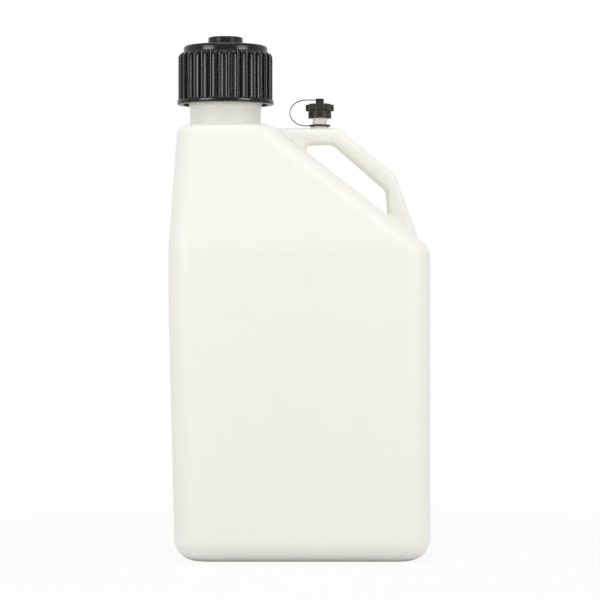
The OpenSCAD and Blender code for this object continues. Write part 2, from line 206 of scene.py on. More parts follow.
mixed = add_node(tree, "ShaderNodeMixShader", {0: share.outputs[0], 1: matt.outputs[0],
    2: white.outputs[0]})
tree.links.new(mixed.outputs[0], output.inputs["Surface"])
floor.data.materials.append(floor_paint)

bpy.context.scene.view_settings.view_transform = "Standard"

# %% [markdown]
# ## Helpers for meshes
# A loft is made by one loop of edges that is extruded again and again: each new loop keeps the order
# of its points, so it can be laid out by a rule. Rounded corners come from one arc function. Two
# closed forms are joined or cut with a Boolean modifier, which is applied at once.

# %% Helpers for meshes
MERGE_DISTANCE = 0.001 * MM
SMOOTH_SHARE = 0.5


def arc_corner(before, corner, after, radius, steps):
    """The points of an arc that rounds one corner of a path."""
    to_before = (before - corner).normalized()
    to_after = (after - corner).normalized()
    half = to_before.angle(to_after) / 2
    centre = corner + (to_before + to_after).normalized() * radius / math.sin(half)
    start = corner + to_before * radius / math.tan(half) - centre
    end = corner + to_after * radius / math.tan(half) - centre
    return [centre + radius * start.slerp(end, i / steps) for i in range(steps + 1)]


def round_corners(path, radii, steps, with_ends=True):
    """An open path with each inner corner turned into an arc."""
    points = [p for i, radius in enumerate(radii)
        for p in arc_corner(path[i], path[i + 1], path[i + 2], radius, steps)]
    return [path[0], *points, path[-1]] if with_ends else points


def rounded_box(x_low, x_high, y_low, y_high, radius, steps):
    """A ring of points round a box with rounded corners, counter-clockwise."""
    ring = []
    for quarter in range(4):
        x = x_high - radius if quarter in (0, 3) else x_low + radius
        y = y_high - radius if quarter < 2 else y_low + radius
        for i in range(steps + 1):
            a = math.pi / 2 * (quarter + i / steps)
            ring.append((x + radius * math.cos(a), y + radius * math.sin(a)))
    return ring


def loft(rings):
    """A closed form through rings with equal numbers of points: an edge loop, extruded ring by ring."""
    bm = bmesh.new()
    verts = [bm.verts.new(p) for p in rings[0]]
    edges = [bm.edges.new(pair) for pair in zip(verts, verts[1:] + verts[:1])]
    for ring in rings[1:]:
        grown = bmesh.ops.extrude_edge_only(bm, edges=edges)["geom"]
        fresh = {item for item in grown if isinstance(item, bmesh.types.BMVert)}
        edges = [item for item in grown
            if isinstance(item, bmesh.types.BMEdge) and set(item.verts) <= fresh]
        verts = [next(e.other_vert(v) for e in v.link_edges if e.other_vert(v) in fresh) for v in verts]
        for vert, place in zip(verts, ring):
            vert.co = place
    bmesh.ops.holes_fill(bm, edges=bm.edges)
    bmesh.ops.recalc_face_normals(bm, faces=bm.faces)
    return bm


def turned(profile, steps):
    """A closed solid of revolution round the Z axis, from points of radius and height."""
    bm = bmesh.new()
    verts = [bm.verts.new((radius, 0, z)) for radius, z in profile]
    edges = [bm.edges.new(pair) for pair in zip(verts, verts[1:])]
    if profile[0][0] > 0 and profile[-1][0] > 0:
        edges.append(bm.edges.new((verts[-1], verts[0])))
    bmesh.ops.spin(bm, geom=verts + edges, cent=(0, 0, 0), axis=(0, 0, 1), angle=2 * math.pi,
        steps=steps, use_merge=True)
    bmesh.ops.remove_doubles(bm, verts=bm.verts, dist=MERGE_DISTANCE)
    bmesh.ops.recalc_face_normals(bm, faces=bm.faces)
    return bm


def make_object(bm, name):
    """A bmesh as an object at the origin."""
    bmesh.ops.recalc_face_normals(bm, faces=bm.faces)
    mesh = bpy.data.meshes.new(name)
    bm.to_mesh(mesh)
    bm.free()
    piece = bpy.data.objects.new(name, mesh)
    bpy.context.scene.collection.objects.link(piece)
    return piece


def apply_modifiers(piece):
    """Replaces a piece's mesh by what its modifiers make of it."""
    depsgraph = bpy.context.evaluated_depsgraph_get()
    mesh = bpy.data.meshes.new_from_object(piece.evaluated_get(depsgraph))
    piece.modifiers.clear()
    piece.data = mesh


def combine(piece, tool, operation):
    """Joins a closed form to a piece, or cuts it out, and removes the tool."""
    modifier = piece.modifiers.new("combine", "BOOLEAN")
    modifier.object = tool
    modifier.operation = operation
    modifier.solver = "MANIFOLD"
    apply_modifiers(piece)
    bpy.data.objects.remove(tool)


def finish_piece(piece, material, sharp_degrees=40):
    """Gives a piece its material and smooth shading, with edges over an angle left sharp."""
    piece.data.materials.clear()
    piece.data.materials.append(material)
    piece.data.shade_smooth()
    piece.data.set_sharp_from_angle(angle=math.radians(sharp_degrees))
    print(piece.name, "faces:", len(piece.data.polygons))
    return piece


# %% [markdown]
# ## The jug's form
# A jug of this kind is blown from one tube of molten polyethylene inside a two-part mould, so every edge
# is round and the walls run into each other. Three outlines describe it: the front wall, the back wall
# with its slope, and the side wall with its crease at the shoulder. Each height gives one ring.

# %% Sizes of the body
BODY_LENGTH = 254 * MM
BODY_DEPTH = 246 * MM
SHOULDER_HEIGHT = 304 * MM
DECK_HEIGHT = 426 * MM
DECK_LENGTH = 91.5 * MM
DECK_DEPTH = 190 * MM
FRONT_DRAW_BASE = 6.2 * MM
FRONT_DRAW_DECK = 7.5 * MM
FRONT_UPRIGHT = 50 * MM
WALL = 3 * MM
CORNER_RADIUS = 26 * MM
BASE_RADIUS = 24 * MM
SHOULDER_RADIUS = 16 * MM
CREASE_RADIUS = 14 * MM
DECK_RADIUS = 11 * MM
CREST_RADIUS = 15 * MM
FRONT_BENDS = (400 * MM, 100 * MM)
RECESS_HEIGHT = 4 * MM
RIM_WIDTH = 14 * MM
BODY_STEPS = 12
BASE_CORNER_SHARE = 0.5
DECK_CORNER_SHARE = 0.7
LEAST_RISE = 0.3 * MM

front_x = -BODY_LENGTH / 2
back_x = BODY_LENGTH / 2
crest_x = front_x + FRONT_DRAW_DECK + DECK_LENGTH
print("top of the slope at x =", round(crest_x, 4))


# %% Body
def moved_left(path, distance):
    """An open path moved to its left."""
    moved = []
    for i, point in enumerate(path):
        normals = []
        for a, b in ((max(i - 1, 0), max(i, 1)), (min(i, len(path) - 2), min(i + 1, len(path) - 1))):
            along = (path[b] - path[a]).normalized()
            normals.append(Vector((-along.y, along.x)))
        moved.append(point + (normals[0] + normals[1]) * distance / (1 + normals[0].dot(normals[1])))
    return moved


def wall_outline(path, radii, inwards):
    """One wall from the base to the deck: its heights, and its reach at each of them."""
    path = moved_left([Vector(p) for p in path], inwards)
    radii = [radius - inwards for radius in radii]
    points = round_corners(path, radii, BODY_STEPS, with_ends=False)
    return [p.y for p in points], [p.x for p in points]


def body_form(inwards):
    """The body as a closed form, moved inwards by a distance."""
    front = wall_outline([(0, 0), (-front_x - FRONT_DRAW_BASE, 0),
        (-front_x, SHOULDER_HEIGHT - FRONT_UPRIGHT), (-front_x, SHOULDER_HEIGHT),
        (-front_x - FRONT_DRAW_DECK, DECK_HEIGHT), (-crest_x, DECK_HEIGHT)],
        (BASE_RADIUS, *FRONT_BENDS, DECK_RADIUS), inwards)
    back = wall_outline([(0, 0), (back_x, 0), (back_x, SHOULDER_HEIGHT), (crest_x, DECK_HEIGHT),
        (crest_x - DECK_LENGTH, DECK_HEIGHT)], (BASE_RADIUS, SHOULDER_RADIUS, CREST_RADIUS), inwards)
    side = wall_outline([(0, 0), (BODY_DEPTH / 2, 0), (BODY_DEPTH / 2, SHOULDER_HEIGHT),
        (DECK_DEPTH / 2, DECK_HEIGHT), (0, DECK_HEIGHT)], (BASE_RADIUS, CREASE_RADIUS, DECK_RADIUS), inwards)
    edge_heights = (0, BASE_RADIUS, DECK_HEIGHT - DECK_RADIUS, DECK_HEIGHT)
    edge_radii = (CORNER_RADIUS * BASE_CORNER_SHARE, CORNER_RADIUS, CORNER_RADIUS,
        CORNER_RADIUS * DECK_CORNER_SHARE)
    low, high = inwards, DECK_HEIGHT - inwards
    marks = [z for z in sorted(front[0] + back[0] + side[0]) if low + LEAST_RISE < z < high - LEAST_RISE]
    levels = [low] + [z for before, z in zip([low] + marks, marks) if z - before > LEAST_RISE] + [high]

    def ring(z, height, drawn_in):
        radius = float(np.interp(z, edge_heights, edge_radii)) - inwards
        reach = float(np.interp(z, *side)) - drawn_in
        flat = rounded_box(-float(np.interp(z, *front)) + drawn_in, float(np.interp(z, *back)) - drawn_in,
            -reach, reach, radius, BODY_STEPS)
        return [(x, y, height) for x, y in flat]

    recess = [ring(low, low + RECESS_HEIGHT, RIM_WIDTH + 2 * RECESS_HEIGHT), ring(low, low, RIM_WIDTH)]
    return loft(recess + [ring(z, z, 0) for z in levels])


# %% [markdown]
# The handle is part of the same bubble of plastic: its hollow opens into the body at both ends. It is a
# loft between an outer line and an inner line, seen from the side, and each end grows a little wider.

# %% Handle
HANDLE_HEIGHT = 426.5 * MM
UPPER_BEND_X = 39.5 * MM
LOWER_BEND_X = 96.5 * MM
LOWER_BEND_HEIGHT = 380.5 * MM
BAR_THICKNESS = 16.5 * MM
FOOT_SETBACK = 4.5 * MM
GAP_SETBACK = 35.5 * MM
HANDLE_WIDTH = 29 * MM
HANDLE_FLARE = 7 * MM
HANDLE_EDGE = 7 * MM
OUTER_BEND = 9.5 * MM
INNER_BEND = 6 * MM
GAP_CORNER = 3.5 * MM
ROOT_BEND = 30 * MM
BAR_TAPER = 9.8 * MM
GAP_FOOT_HEIGHT = 29 * MM
HANDLE_SINK = 14 * MM
HANDLE_BEND_STEPS = 8
FLARE_STATIONS = HANDLE_BEND_STEPS + 2
HANDLE_RING_STEPS = 6
LEAST_FLAT = 0.2 * MM

slant = math.atan2(HANDLE_HEIGHT - LOWER_BEND_HEIGHT, LOWER_BEND_X - UPPER_BEND_X)
foot_x = back_x - FOOT_SETBACK
foot_z = SHOULDER_HEIGHT + WALL
gap_root_x = crest_x + GAP_SETBACK
bar_under = HANDLE_HEIGHT - BAR_THICKNESS
bar_side = BAR_THICKNESS * math.tan(slant / 2)
outer_line = [Vector(p) for p in ((crest_x - 2 * HANDLE_SINK, HANDLE_HEIGHT - HANDLE_SINK / 3),
    (crest_x - HANDLE_SINK / 2, HANDLE_HEIGHT), (UPPER_BEND_X, HANDLE_HEIGHT),
    (LOWER_BEND_X, LOWER_BEND_HEIGHT), (foot_x, foot_z), (foot_x, foot_z - HANDLE_SINK))]
inner_line = [Vector(p) for p in ((gap_root_x - WALL, bar_under - 1.5 * HANDLE_SINK),
    (gap_root_x, bar_under), (UPPER_BEND_X - bar_side, bar_under),
    (LOWER_BEND_X - BAR_TAPER, LOWER_BEND_HEIGHT - BAR_THICKNESS),
    (LOWER_BEND_X - BAR_TAPER + WALL, SHOULDER_HEIGHT + GAP_FOOT_HEIGHT),
    (LOWER_BEND_X + WALL, SHOULDER_HEIGHT - HANDLE_SINK))]
OUTER_RADII = (ROOT_BEND, OUTER_BEND, OUTER_BEND, ROOT_BEND)
INNER_RADII = (GAP_CORNER, GAP_CORNER, INNER_BEND, ROOT_BEND)


def handle_form(inwards):
    """The handle as a closed form, moved inwards by a distance."""
    outer = round_corners(outer_line, OUTER_RADII, HANDLE_BEND_STEPS)
    inner = round_corners(inner_line, INNER_RADII, HANDLE_BEND_STEPS)
    rings = []
    for i, (high, low) in enumerate(zip(outer, inner)):
        to_end = min(i, len(outer) - 1 - i)
        flare = HANDLE_FLARE * max(0, FLARE_STATIONS - to_end) / FLARE_STATIONS
        half_width = (HANDLE_WIDTH + flare) / 2 - inwards
        half_thickness = (high - low).length / 2 - inwards
        up = (high - low).normalized()
        middle = (high + low) / 2
        radius = min(HANDLE_EDGE - inwards, half_thickness - LEAST_FLAT)
        flat = rounded_box(-half_width, half_width, -half_thickness, half_thickness, radius,
            HANDLE_RING_STEPS)
        rings.append([(middle.x + up.x * y, x, middle.y + up.y * y) for x, y in flat])
    return loft(rings)


# %% [markdown]
# Where the handle grows out of the body, the real surface flows in a soft fillet. Boolean and bevel can't
# give that on such a curved seam, so the joined form is remeshed in small even faces, and only the points
# that lie near both forms are smoothed. Faces that aren't needed on the flat walls are then merged away.

# %% Skin of the jug
OUTER_VOXEL = 2.4 * MM
INNER_VOXEL = 5 * MM
BLEND_REACH = 9 * MM
BLEND_PASSES = 16
KEEP_OUTER = 0.42
KEEP_INNER = 0.5


def near_both(verts, first, second, reach):
    """The points that lie within a reach of both forms' surfaces."""
    return [v for v in verts if first.find_nearest(v.co, reach)[0] and second.find_nearest(v.co, reach)[0]]


def skin_of_jug(name, inwards, voxel, keep):
    """The body and the handle as one closed skin, with soft fillets where they meet."""
    body, handle = body_form(inwards), handle_form(inwards)
    trees = BVHTree.FromBMesh(body), BVHTree.FromBMesh(handle)
    skin = make_object(body, name)
    combine(skin, make_object(handle, "handle_form"), "UNION")
    remesh = skin.modifiers.new("even_faces", "REMESH")
    remesh.mode = "VOXEL"
    remesh.voxel_size = voxel
    apply_modifiers(skin)
    bm = bmesh.new()
    bm.from_mesh(skin.data)
    seam = near_both(bm.verts, *trees, BLEND_REACH)
    for _ in range(BLEND_PASSES):
        bmesh.ops.smooth_vert(bm, verts=seam, factor=SMOOTH_SHARE, use_axis_x=True, use_axis_y=True,
            use_axis_z=True)
    bm.to_mesh(skin.data)
    bm.free()
    print(name, "remeshed:", len(skin.data.polygons), "faces, smoothed points:", len(seam))
    thin = skin.modifiers.new("fewer_faces", "DECIMATE")
    thin.ratio = keep
    apply_modifiers(skin)
    return skin


jug = skin_of_jug("jug", 0, OUTER_VOXEL, KEEP_OUTER)
hollow = skin_of_jug("hollow", WALL, INNER_VOXEL, KEEP_INNER)
print("faces:", len(jug.data.polygons), len(hollow.data.polygons))


# %% [markdown]
# ## Necks and threads
# The wide neck and the small vent neck are turned forms with a soft foot. Each carries a screw thread: a
# loft of small sections that go round the axis while they climb. The ridge fades at both ends, as a moulded
# thread does. The hollow and both bores are then cut out, so the jug is a shell of one even wall.

# %% Places from the frame
neck_low, neck_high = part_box("cap_gasket")
neck_axis = Vector(((neck_low.x + neck_high.x) / 2, (neck_low.y + neck_high.y) / 2, 0))
SEAT_GAP = 0.1 * MM
neck_top = neck_low.z - SEAT_GAP
cap_low, cap_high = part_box("main_cap")
vent_low, vent_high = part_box("vent_gasket")
vent_axis = Vector(((vent_low.x + vent_high.x) / 2, (vent_low.y + vent_high.y) / 2, 0))
vent_top = vent_low.z - SEAT_GAP
knob_low, knob_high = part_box("vent_cap")
print("neck axis and top:", neck_axis, round(neck_top, 4))
print("vent axis and top:", vent_axis, round(vent_top, 4))

# %% Necks
NECK_RADIUS = 35.6 * MM
THREAD_ROOT = 37.7 * MM
THREAD_CREST = 39.9 * MM
THREAD_PITCH = 6 * MM
NECK_BORE = 33 * MM
NECK_FOOT = 3.5 * MM
NECK_LIP = 1 * MM
NECK_STEP_DROP = 5 * MM
NECK_STEP_HEIGHT = 8 * MM
VENT_RADIUS = 7.2 * MM
VENT_BORE = 4.5 * MM
VENT_PITCH = 2.5 * MM
VENT_CREST = 8.1 * MM
COLLAR_RADIUS = 9 * MM
COLLAR_HEIGHT = 1.8 * MM
VENT_FOOT = 1.2 * MM
VENT_LIP = 0.6 * MM
SINK = 2 * MM
NECK_HOLE_DEPTH = 15 * MM
VENT_HOLE_DEPTH = 7.5 * MM
WIDE_STEPS = 192
NARROW_STEPS = 96
THREAD_STEPS = 60
THREAD_FADE_STEPS = 12
THREAD_LAP = 0.3 * MM
THREAD_FOOT_SHARE = 0.4
THREAD_TOP_SHARE = 0.14
NECK_THREAD_DROP, NECK_THREAD_TURNS = 27 * MM, 3.3
VENT_THREAD_DROP, VENT_THREAD_TURNS = 9 * MM, 2.6


def arc(radius_at, height_at, radius, start, end, steps=6):
    """Points of an arc in a turned profile, from one angle to another, in degrees."""
    angles = [math.radians(start + (end - start) * i / steps) for i in range(steps + 1)]
    return [(radius_at + radius * math.cos(a), height_at + radius * math.sin(a)) for a in angles]


def thread(bottom, turns, root, crest, pitch):
    """A screw ridge: a small section carried round the axis while it climbs, faded at both ends."""
    steps = round(THREAD_STEPS * turns)
    lap = math.copysign(THREAD_LAP, crest - root)
    foot, top = THREAD_FOOT_SHARE * pitch, THREAD_TOP_SHARE * pitch
    rings = []
    for i in range(steps + 1):
        turn = 2 * math.pi * i / THREAD_STEPS
        rise = bottom + pitch * i / THREAD_STEPS
        peak = root + (crest - root) * min(1, min(i, steps - i) / THREAD_FADE_STEPS)
        section = ((root - lap, -foot), (peak, -top), (peak, top), (root - lap, foot))
        rings.append([(r * math.cos(turn), r * math.sin(turn), rise + z) for r, z in section])
    return loft(rings)


def placed(bm, name, axis):
    """A form made round the Z axis, moved to its own axis, as an object."""
    bmesh.ops.translate(bm, verts=bm.verts, vec=(axis.x, axis.y, 0))
    return make_object(bm, name)


cap_mouth = cap_low.z
neck_step = cap_mouth - NECK_STEP_DROP
neck_profile = [
    (0, DECK_HEIGHT - SINK),
    (NECK_RADIUS + NECK_FOOT, DECK_HEIGHT - SINK),
    *arc(NECK_RADIUS + NECK_FOOT, DECK_HEIGHT + NECK_FOOT, NECK_FOOT, -90, -180),
    (NECK_RADIUS, neck_step),
    (THREAD_ROOT, neck_step + NECK_STEP_HEIGHT),
    *arc(THREAD_ROOT - NECK_LIP, neck_top - NECK_LIP, NECK_LIP, 0, 90),
    (0, neck_top)]
vent_base = HANDLE_HEIGHT
vent_profile = [
    (0, vent_base - SINK),
    (COLLAR_RADIUS + VENT_FOOT, vent_base - SINK),
    (COLLAR_RADIUS + VENT_FOOT, vent_base),
    *arc(COLLAR_RADIUS + VENT_FOOT, vent_base + VENT_FOOT, VENT_FOOT, -90, -150),
    *arc(COLLAR_RADIUS - VENT_LIP, vent_base + COLLAR_HEIGHT - VENT_LIP, VENT_LIP, 0, 90),
    (VENT_RADIUS, vent_base + COLLAR_HEIGHT),
    *arc(VENT_RADIUS - VENT_LIP, vent_top - VENT_LIP, VENT_LIP, 0, 90),
    (0, vent_top)]

combine(jug, placed(turned(neck_profile, WIDE_STEPS), "neck_form", neck_axis), "UNION")
combine(jug, placed(thread(neck_top - NECK_THREAD_DROP, NECK_THREAD_TURNS, THREAD_ROOT, THREAD_CREST,
    THREAD_PITCH), "neck_thread", neck_axis), "UNION")
combine(jug, placed(turned(vent_profile, NARROW_STEPS), "vent_form", vent_axis), "UNION")
combine(jug, placed(thread(vent_top - VENT_THREAD_DROP, VENT_THREAD_TURNS, VENT_RADIUS, VENT_CREST,
    VENT_PITCH), "vent_thread", vent_axis), "UNION")
combine(jug, hollow, "DIFFERENCE")
neck_hole = [(0, DECK_HEIGHT - NECK_HOLE_DEPTH), (NECK_BORE, DECK_HEIGHT - NECK_HOLE_DEPTH),
    *arc(NECK_BORE + NECK_LIP, neck_top - NECK_LIP, NECK_LIP, 180, 90),
    (NECK_BORE + NECK_LIP, neck_top + SINK), (0, neck_top + SINK)]
combine(jug, placed(turned(neck_hole, WIDE_STEPS), "neck_hole", neck_axis), "DIFFERENCE")
vent_hole = [(0, vent_base - VENT_HOLE_DEPTH), (VENT_BORE, vent_base - VENT_HOLE_DEPTH),
    (VENT_BORE, vent_top + SINK), (0, vent_top + SINK)]
combine(jug, placed(turned(vent_hole, NARROW_STEPS), "vent_hole", vent_axis), "DIFFERENCE")
print("jug faces:", len(jug.data.polygons))

# %% [markdown]
# ## The main cap
# The cap is injection-moulded in glossy black polypropylene. Its outline is turned first, with far more
# steps than a turned part needs. Those steps are then slid to the corners of the grip ribs, and the points
# between two ribs are pushed in to the groove's depth, so each rib gets a faintly crowned top and small
# round corners that glint.

# %% Main cap
RIB_COUNT = 30
RIB_DEPTH = 3.2 * MM
RIB_SHOULDER = 5.7 * MM
RIB_FOOT_WIDTH = 6.4 * MM
RIB_TOP_WIDTH = 5.4 * MM
RIB_CORNER = 0.9 * MM
RIB_CROWN = 5.5 * MM
CROWN_STEPS = 8
GROOVE_ROUND = 2.0 * MM
RIB_CORNER_STEPS = 6
RIB_RADIUS = 47.7 * MM
FLANGE_THICKNESS = 4.6 * MM
FLANGE_EDGE = 0.9 * MM
DISC_RADIUS = 42.2 * MM
DISC_HEIGHT = 6.9 * MM
DISC_EDGE = 2.8 * MM
BOSS_RADIUS = 17.5 * MM
BOSS_HEIGHT = 8.9 * MM
BOSS_EDGE = 1.8 * MM
BOSS_WALL = 3 * MM
CAP_CROWN = 4.3 * MM
CAP_BORE = 40.4 * MM
CAP_MOUTH = 42.5 * MM
MOUTH_LEAD = 2.5 * MM
CAP_CREST = 38.3 * MM
CAP_THREAD_DROP, CAP_THREAD_TURNS = 24 * MM, 2.6
BOSS_FOOT = 0.8 * MM
SHOULDER_STEPS = 12
LEDGE = 0.2 * MM
NEAR_AXIS = 0.01 * MM

boss_top = cap_high.z
cap_top = boss_top - BOSS_HEIGHT
disc_foot = cap_top - DISC_HEIGHT
flange_top = cap_mouth + FLANGE_THICKNESS
flange_radius = (cap_high.x - cap_low.x) / 2
rib_core = RIB_RADIUS - RIB_DEPTH

rib_overhang = RIB_RADIUS - DISC_RADIUS
shoulder = [(RIB_RADIUS - rib_overhang * (1 - math.cos(a)), disc_foot - RIB_SHOULDER * (1 - math.sin(a)))
    for a in (math.radians(90 * i / SHOULDER_STEPS) for i in range(SHOULDER_STEPS + 1))]
cap_profile = [
    (CAP_MOUTH, cap_mouth),
    *arc(flange_radius - FLANGE_EDGE, cap_mouth + FLANGE_EDGE, FLANGE_EDGE, -90, 0, 4),
    *arc(flange_radius - FLANGE_EDGE, flange_top - FLANGE_EDGE, FLANGE_EDGE, 0, 90, 4),
    (RIB_RADIUS, flange_top),
    (RIB_RADIUS, flange_top + LEDGE),
    *shoulder,
    (DISC_RADIUS, disc_foot + LEDGE),
    *arc(DISC_RADIUS - DISC_EDGE, cap_top - DISC_EDGE, DISC_EDGE, 0, 90, 8),
    (BOSS_RADIUS + BOSS_FOOT, cap_top),
    *arc(BOSS_RADIUS + BOSS_FOOT, cap_top + BOSS_FOOT, BOSS_FOOT, -90, -180, 4),
    *arc(BOSS_RADIUS - BOSS_EDGE, boss_top - BOSS_EDGE, BOSS_EDGE, 0, 90, 8),
    (0, boss_top),
    (0, boss_top - BOSS_WALL),
    (BOSS_RADIUS - BOSS_WALL, boss_top - BOSS_WALL),
    (BOSS_RADIUS - BOSS_WALL, cap_top - CAP_CROWN),
    (CAP_BORE, cap_top - CAP_CROWN),
    (CAP_BORE, cap_mouth + 2 * MOUTH_LEAD),
    (CAP_MOUTH, cap_mouth + MOUTH_LEAD)]

pitch_length = 2 * math.pi * RIB_RADIUS / RIB_COUNT
rib_line = round_corners([Vector(p) for p in ((-pitch_length / 2, 0), (-RIB_FOOT_WIDTH / 2, 0),
    (-RIB_TOP_WIDTH / 2, RIB_DEPTH), (RIB_TOP_WIDTH / 2, RIB_DEPTH), (RIB_FOOT_WIDTH / 2, 0),
    (pitch_length / 2, 0))], (GROOVE_ROUND, RIB_CORNER, RIB_CORNER, GROOVE_ROUND), RIB_CORNER_STEPS)
top_start = 1 + 2 * (RIB_CORNER_STEPS + 1)
top_left, top_right = rib_line[top_start - 1], rib_line[top_start]
rib_line[top_start:top_start] = [top_left.lerp(top_right, i / CROWN_STEPS) for i in range(1, CROWN_STEPS)]
for point in rib_line:
    if abs(point.x) < RIB_TOP_WIDTH / 2:
        point.y = min(point.y, RIB_DEPTH - RIB_CROWN + math.sqrt(RIB_CROWN ** 2 - point.x ** 2))
steps_per_rib = len(rib_line) - 1
cap_steps = RIB_COUNT * steps_per_rib


def cut_grooves(bm):
    """Slides each turned step to its place on the rib's outline, and pushes the grooves in."""
    for vert in bm.verts:
        radius = math.hypot(vert.co.x, vert.co.y)
        if radius < NEAR_AXIS:
            continue
        around = math.atan2(vert.co.y, vert.co.x) % (2 * math.pi)
        step = round(around / (2 * math.pi) * cap_steps) % cap_steps
        rib, place = divmod(step, steps_per_rib)
        along, height = rib_line[place]
        angle = (rib * pitch_length + along) / RIB_RADIUS - math.pi / 2
        if flange_top - LEDGE / 2 < vert.co.z < disc_foot + LEDGE / 2 and radius > rib_core:
            flat = math.cos(RIB_TOP_WIDTH / 2 / RIB_RADIUS) / math.cos(along / RIB_RADIUS)
            radius = rib_core + (radius * flat - rib_core) * height / RIB_DEPTH
        vert.co.x, vert.co.y = radius * math.cos(angle), radius * math.sin(angle)


cap_bm = turned(cap_profile, cap_steps)
cut_grooves(cap_bm)
cap = placed(cap_bm, "ribbed_cap", neck_axis)
combine(cap, placed(thread(neck_top - CAP_THREAD_DROP, CAP_THREAD_TURNS, CAP_BORE, CAP_CREST, THREAD_PITCH),
    "cap_thread", neck_axis), "UNION")

# %% [markdown]
# ## The vent cap
# The small star knob is one moulding too, with a soft satin face. Its body and its five lobes are joined,
# remeshed in very small faces and smoothed a little, which rounds every edge as a mould would.

# %% Vent cap
KNOB_HEIGHT = 14.5 * MM
KNOB_RADIUS = 11.4 * MM
KNOB_MOUTH = 11.7 * MM
KNOB_BORE = 8.5 * MM
KNOB_CROWN = 2.3 * MM
KNOB_EDGE = 1.0 * MM
LOBE_COUNT = 5
LOBE_REACH = 14.8 * MM
LOBE_RADIUS = 4.2 * MM
LOBE_HEIGHT = 6.7 * MM
LOBE_DROP = 0.5 * MM
LOBE_SOFT = 1.2 * MM
STEM_RADIUS = 4.1 * MM
STEM_HEIGHT = 3.2 * MM
STUD_RADIUS = 2.1 * MM
STUD_HEAD = 4.1 * MM
STRAP_THICKNESS = 1.1 * MM
EYE_GAP = 0.2 * MM
KNOB_VOXEL = 0.3 * MM
KNOB_PASSES = 3
KNOB_KEEP = 0.4
KNOB_CREST = 7.5 * MM
KNOB_THREAD_DROP, KNOB_THREAD_TURNS = 8 * MM, 2.2
LOBE_STEPS = 48
STEM_STEPS = 64
STEM_FOOT = 0.4 * MM
STEM_EDGE = 0.3 * MM
STUD_EDGE = 0.2 * MM
STUD_DRAW = 0.6 * MM
MOUTH_FLARE = 0.4 * MM
MOUTH_DEPTH = 0.6 * MM

knob_ceiling = vent_high.z + SEAT_GAP
knob_top = knob_ceiling + KNOB_CROWN
knob_mouth = knob_top - KNOB_HEIGHT
stem_top = knob_top + STEM_HEIGHT
stud_top = stem_top + STRAP_THICKNESS + 2 * EYE_GAP
lobe_top = knob_top - LOBE_DROP
lobe_foot = lobe_top - LOBE_HEIGHT

knob = placed(turned([
    (0, knob_mouth + MM), (KNOB_MOUTH - KNOB_EDGE, knob_mouth), (KNOB_MOUTH, knob_mouth),
    *arc(KNOB_RADIUS - KNOB_EDGE, knob_top - KNOB_EDGE, KNOB_EDGE, 0, 90, 4),
    (0, knob_top)], NARROW_STEPS), "star_knob", vent_axis)
for i in range(LOBE_COUNT):
    lobe_bm = turned([
        (0, lobe_foot),
        *arc(LOBE_RADIUS - LOBE_SOFT, lobe_foot + LOBE_SOFT, LOBE_SOFT, -90, 0, 4),
        *arc(LOBE_RADIUS - LOBE_SOFT, lobe_top - LOBE_SOFT, LOBE_SOFT, 0, 90, 4),
        (0, lobe_top)], LOBE_STEPS)
    inner = [v for v in lobe_bm.verts if v.co.x < -NEAR_AXIS]
    bmesh.ops.translate(lobe_bm, verts=inner, vec=(-LOBE_RADIUS, 0, 0))
    bmesh.ops.translate(lobe_bm, verts=lobe_bm.verts, vec=(LOBE_REACH - LOBE_RADIUS, 0, 0))
    turn = Matrix.Rotation(math.radians(90 + 360 * i / LOBE_COUNT), 3, "Z")
    bmesh.ops.rotate(lobe_bm, verts=lobe_bm.verts, cent=(0, 0, 0), matrix=turn)
    combine(knob, placed(lobe_bm, "lobe", vent_axis), "UNION")
remesh = knob.modifiers.new("even_faces", "REMESH")
remesh.mode = "VOXEL"
remesh.voxel_size = KNOB_VOXEL
smooth = knob.modifiers.new("soft_edges", "SMOOTH")
smooth.factor = SMOOTH_SHARE
smooth.iterations = KNOB_PASSES
thin = knob.modifiers.new("fewer_faces", "DECIMATE")
thin.ratio = KNOB_KEEP
apply_modifiers(knob)
stem = turned([
    (0, knob_top - MM),
    (STEM_RADIUS + STEM_FOOT, knob_top - MM),
    (STEM_RADIUS + STEM_FOOT, knob_top - STEM_FOOT / 2),
    (STEM_RADIUS, knob_top + STEM_FOOT),
    *arc(STEM_RADIUS - STEM_EDGE, stem_top - STEM_EDGE, STEM_EDGE, 0, 90, 4),
    (STUD_RADIUS, stem_top),
    (STUD_RADIUS, stud_top),
    *arc(STUD_HEAD - STUD_EDGE, stud_top + STUD_EDGE, STUD_EDGE, -90, 30, 4),
    (STUD_HEAD - STUD_DRAW, knob_high.z),
    (0, knob_high.z)], STEM_STEPS)
combine(knob, placed(stem, "stem", vent_axis), "UNION")
bore = turned([
    (0, knob_mouth - MM),
    (KNOB_BORE + MOUTH_FLARE, knob_mouth - MM),
    (KNOB_BORE + MOUTH_FLARE, knob_mouth),
    (KNOB_BORE, knob_mouth + MOUTH_DEPTH),
    (KNOB_BORE, knob_ceiling),
    (0, knob_ceiling)], NARROW_STEPS)
combine(knob, placed(bore, "knob_bore", vent_axis), "DIFFERENCE")
combine(knob, placed(thread(vent_top - KNOB_THREAD_DROP, KNOB_THREAD_TURNS, KNOB_BORE, KNOB_CREST,
    VENT_PITCH), "knob_thread", vent_axis), "UNION")

# %% [markdown]
# ## The tether
# One soft strap keeps the vent cap from being lost: a ring that sits loose round the vent's neck, a flat
# band that loops out and back, and an eye that snaps over the stud. The band is a loft with round edges.

# %% Tether
STRAP_WIDTH = 3.2 * MM
STRAP_LAP = 0.6 * MM
RING_RADIUS = 10.8 * MM
RING_THICKNESS = 1.5 * MM
TETHER_GAP = 0.4 * MM
LOOP_REACH = 30.2 * MM
LOOP_START = 14 * MM
LOOP_STEPS = 48
STRAP_HALF_THICKNESS = 0.4 * MM
STRAP_EDGE = 0.3 * MM

